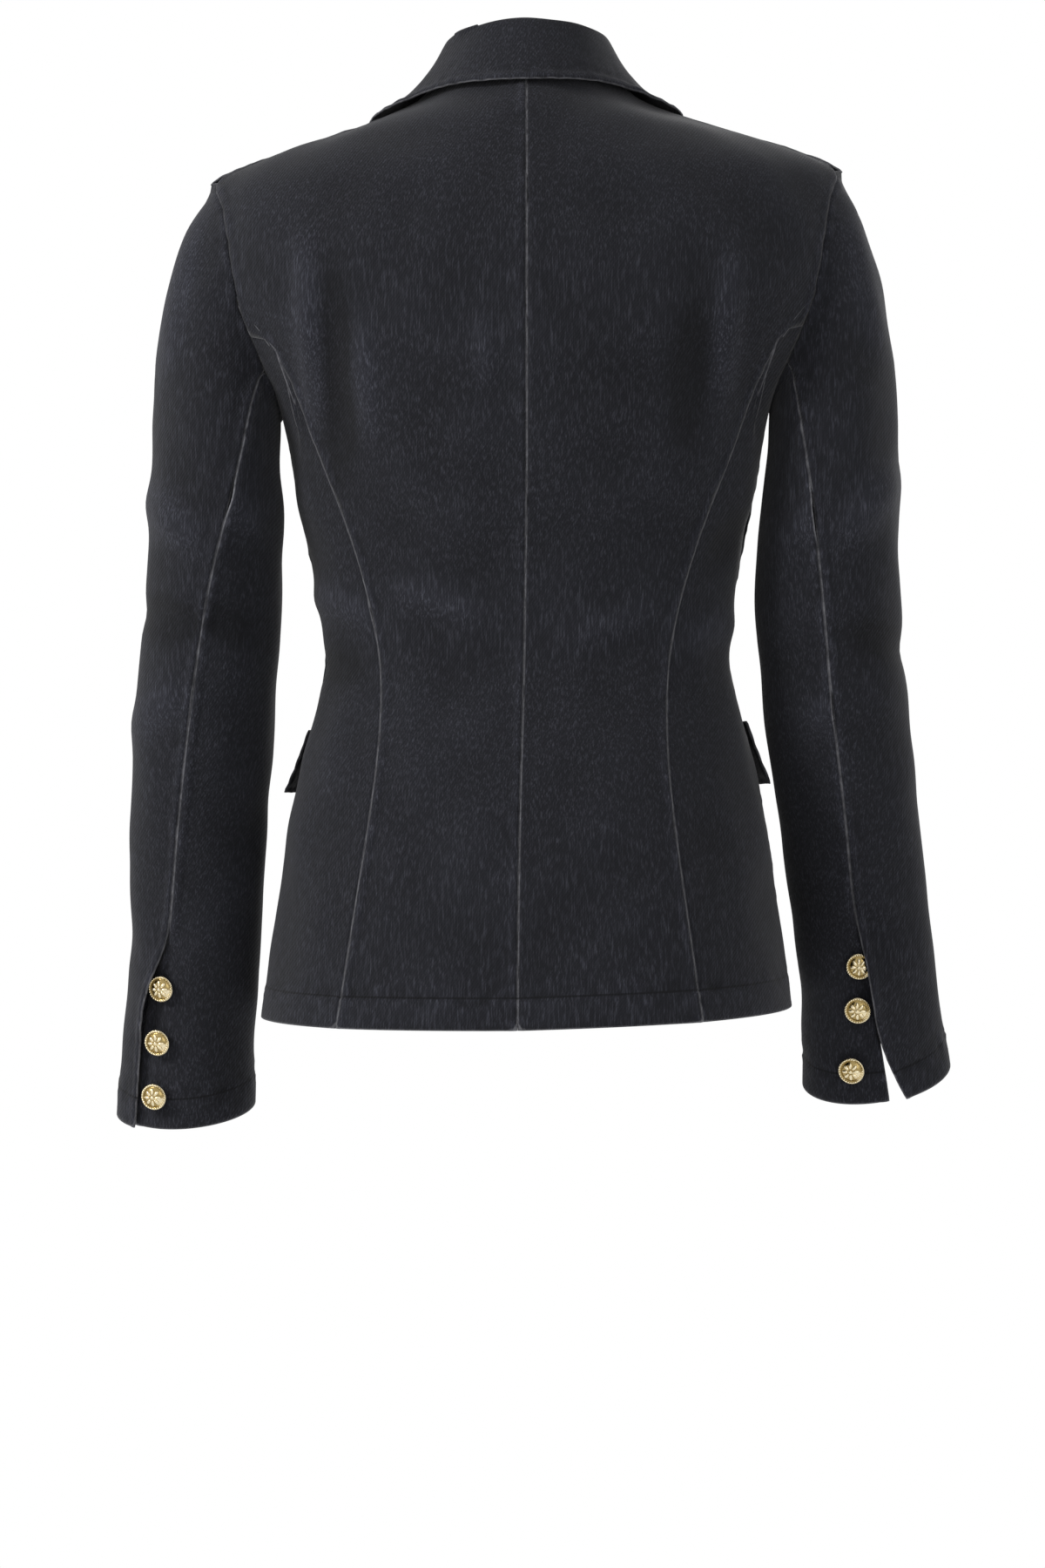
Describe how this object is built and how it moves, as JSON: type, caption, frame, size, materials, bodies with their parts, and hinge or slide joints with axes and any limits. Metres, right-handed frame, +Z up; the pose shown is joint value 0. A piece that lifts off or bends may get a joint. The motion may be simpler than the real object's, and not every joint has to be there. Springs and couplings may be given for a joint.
{
  "type": "denim blazer",
  "caption": "Worn denim blazer with a folded collar, notched lapels, princess-seamed back, two-piece sleeves with open button vents and hip pocket flaps.",
  "frame": {"origin": "between the two neck points, at the height where the wearer's shoulders carry the blazer", "axes": "+Z up, the front faces -Y, the wearer's left is +X"},
  "size_m": [0.5434, 0.2638, 0.7004],
  "materials": {
    "denim": "black-charcoal stretch denim twill, washed, matt",
    "gilt_button": "pale gold plate, polished"
  },
  "bodies": {
    "root": {"back_left": "denim", "back_right": "denim", "side_back_left": "denim", "side_back_right": "denim", "front_left": "denim", "front_right": "denim", "lapel_left": "denim", "lapel_right": "denim", "upper_sleeve_left": "denim", "upper_sleeve_right": "denim", "under_sleeve_left": "denim", "under_sleeve_right": "denim", "flap_left": "denim", "flap_right": "denim", "collar": "denim", "sleeve_button_left_1": "gilt_button", "sleeve_button_left_2": "gilt_button", "sleeve_button_left_3": "gilt_button", "sleeve_button_right_1": "gilt_button", "sleeve_button_right_2": "gilt_button", "sleeve_button_right_3": "gilt_button", "front_button_1": "gilt_button", "front_button_2": "gilt_button"}
  },
  "joints": []
}
